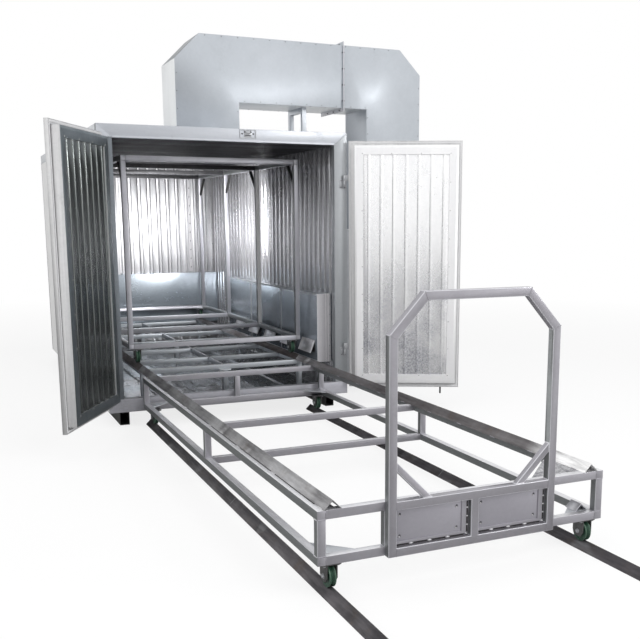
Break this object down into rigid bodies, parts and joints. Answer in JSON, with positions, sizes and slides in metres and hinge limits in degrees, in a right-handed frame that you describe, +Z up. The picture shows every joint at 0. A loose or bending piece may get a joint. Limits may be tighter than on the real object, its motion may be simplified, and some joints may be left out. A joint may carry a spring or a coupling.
{
  "type": "powder coating oven",
  "caption": "Batch oven with two hinged doors, a rail track with a transfer cart and a work trolley, and a roof air duct.",
  "frame": {"origin": "on the ground, in the middle of the track, under the front face of the doorway", "axes": "+X to the right seen from the front, +Y into the oven along the track, +Z up"},
  "size_m": [3.4515, 11.421, 3.115],
  "materials": {
    "zinc_sheet": "galvanised sheet, faint spangle",
    "zinc_tube": "galvanised tube, matt",
    "rail_steel": "dark rolled steel",
    "black_steel": "black paint",
    "seal_rubber": "grey seal",
    "green_wheel": "green enamel",
    "caster_steel": "plated steel",
    "hinge_steel": "plated steel"
  },
  "bodies": {
    "oven": {"back_wall": "zinc_sheet", "base_skids": "black_steel", "ceiling_sheet": "zinc_sheet", "duct_flaps": "zinc_sheet", "floor_panel": "zinc_sheet", "floor_rails": "rail_steel", "front_header": "zinc_sheet", "front_jambs": "zinc_sheet", "front_sill": "zinc_sheet", "heater_housing": "zinc_sheet", "jamb_hinges": "hinge_steel", "latch_keeper": "hinge_steel", "left_wall": "zinc_sheet", "right_wall": "zinc_sheet", "roof_duct_left": "zinc_sheet", "roof_duct_right": "zinc_sheet", "roof_duct_stand": "zinc_tube", "roof_panel": "zinc_sheet", "track_centre_bar": "black_steel", "track_cross_beams": "zinc_tube", "track_long_beams": "zinc_tube", "track_posts": "zinc_tube", "track_rails": "rail_steel", "wall_duct_back": "zinc_sheet", "wall_duct_right": "zinc_sheet"},
    "left_door": {"door_leaf_left": "zinc_sheet", "door_lining_left": "zinc_sheet", "door_seal_left": "seal_rubber", "leaf_hinges_left": "hinge_steel"},
    "right_door": {"door_leaf_right": "zinc_sheet", "door_lining_right": "zinc_sheet", "door_seal_right": "seal_rubber", "leaf_hinges_right": "hinge_steel", "bolt_guides": "black_steel"},
    "drop_bolt": {"drop_bolt": "black_steel"},
    "cart": {"cart_caster_forks": "caster_steel", "cart_cross_beams": "zinc_tube", "cart_gussets": "zinc_sheet", "cart_long_beams": "zinc_tube", "cart_posts": "zinc_tube", "cart_rail_strips": "zinc_tube", "cart_rails": "rail_steel", "cart_stop_angle": "zinc_tube", "handle_plates": "zinc_sheet", "handle_portal": "zinc_tube"},
    "trolley": {"trolley_braces": "black_steel", "trolley_caster_forks": "caster_steel", "trolley_cross_bars": "zinc_tube", "trolley_long_beams": "zinc_tube", "trolley_posts": "zinc_tube"},
    "cart_wheel_front_left": {"cart_wheel_front_left": "green_wheel"},
    "cart_wheel_front_right": {"cart_wheel_front_right": "green_wheel"},
    "cart_wheel_rear_left": {"cart_wheel_rear_left": "green_wheel"},
    "cart_wheel_rear_right": {"cart_wheel_rear_right": "green_wheel"},
    "trolley_wheel_front_left": {"trolley_wheel_front_left": "green_wheel"},
    "trolley_wheel_front_right": {"trolley_wheel_front_right": "green_wheel"},
    "trolley_wheel_rear_left": {"trolley_wheel_rear_left": "green_wheel"},
    "trolley_wheel_rear_right": {"trolley_wheel_rear_right": "green_wheel"}
  },
  "joints": [
    {"name": "cart_roll", "type": "slide", "parent": "oven", "child": "cart", "axis": [0, -1, 0], "range_m": [0, 3.7]},
    {"name": "left_door_hinge", "type": "hinge", "parent": "oven", "child": "left_door", "pos_m": [-0.966, -0.025, 0.5], "axis": [0, 0, 1], "range_deg": [0, 119.5]},
    {"name": "right_door_hinge", "type": "hinge", "parent": "oven", "child": "right_door", "pos_m": [0.966, -0.025, 0.5], "axis": [0, 0, -1], "range_deg": [0, 153]},
    {"name": "trolley_roll", "type": "slide", "parent": "oven", "child": "trolley", "axis": [0, 1, 0], "range_m": [-3.9, 0]},
    {"name": "drop_bolt_slide", "type": "slide", "parent": "right_door", "child": "drop_bolt", "axis": [0, 0, 1], "range_m": [0, 0.04]},
    {"name": "cart_wheel_front_left_spin", "type": "hinge", "parent": "cart", "child": "cart_wheel_front_left", "pos_m": [-0.678, -3.551, 0.08413], "axis": [1, 0, 0], "continuous": true},
    {"name": "cart_wheel_front_right_spin", "type": "hinge", "parent": "cart", "child": "cart_wheel_front_right", "pos_m": [0.678, -3.551, 0.08413], "axis": [1, 0, 0], "continuous": true},
    {"name": "cart_wheel_rear_left_spin", "type": "hinge", "parent": "cart", "child": "cart_wheel_rear_left", "pos_m": [-0.678, -0.096, 0.08413], "axis": [1, 0, 0], "continuous": true},
    {"name": "cart_wheel_rear_right_spin", "type": "hinge", "parent": "cart", "child": "cart_wheel_rear_right", "pos_m": [0.678, -0.096, 0.08413], "axis": [1, 0, 0], "continuous": true},
    {"name": "trolley_wheel_front_left_spin", "type": "hinge", "parent": "trolley", "child": "trolley_wheel_front_left", "pos_m": [-0.678, 0.504, 0.47813], "axis": [1, 0, 0], "continuous": true},
    {"name": "trolley_wheel_front_right_spin", "type": "hinge", "parent": "trolley", "child": "trolley_wheel_front_right", "pos_m": [0.678, 0.504, 0.47813], "axis": [1, 0, 0], "continuous": true},
    {"name": "trolley_wheel_rear_left_spin", "type": "hinge", "parent": "trolley", "child": "trolley_wheel_rear_left", "pos_m": [-0.678, 3.596, 0.47813], "axis": [1, 0, 0], "continuous": true},
    {"name": "trolley_wheel_rear_right_spin", "type": "hinge", "parent": "trolley", "child": "trolley_wheel_rear_right", "pos_m": [0.678, 3.596, 0.47813], "axis": [1, 0, 0], "continuous": true}
  ],
  "couplings": [
    {"joint": "left_door_hinge", "follows": "cart_roll", "rad_per_m": 0.56369},
    {"joint": "right_door_hinge", "follows": "cart_roll", "rad_per_m": 0.72172}
  ]
}
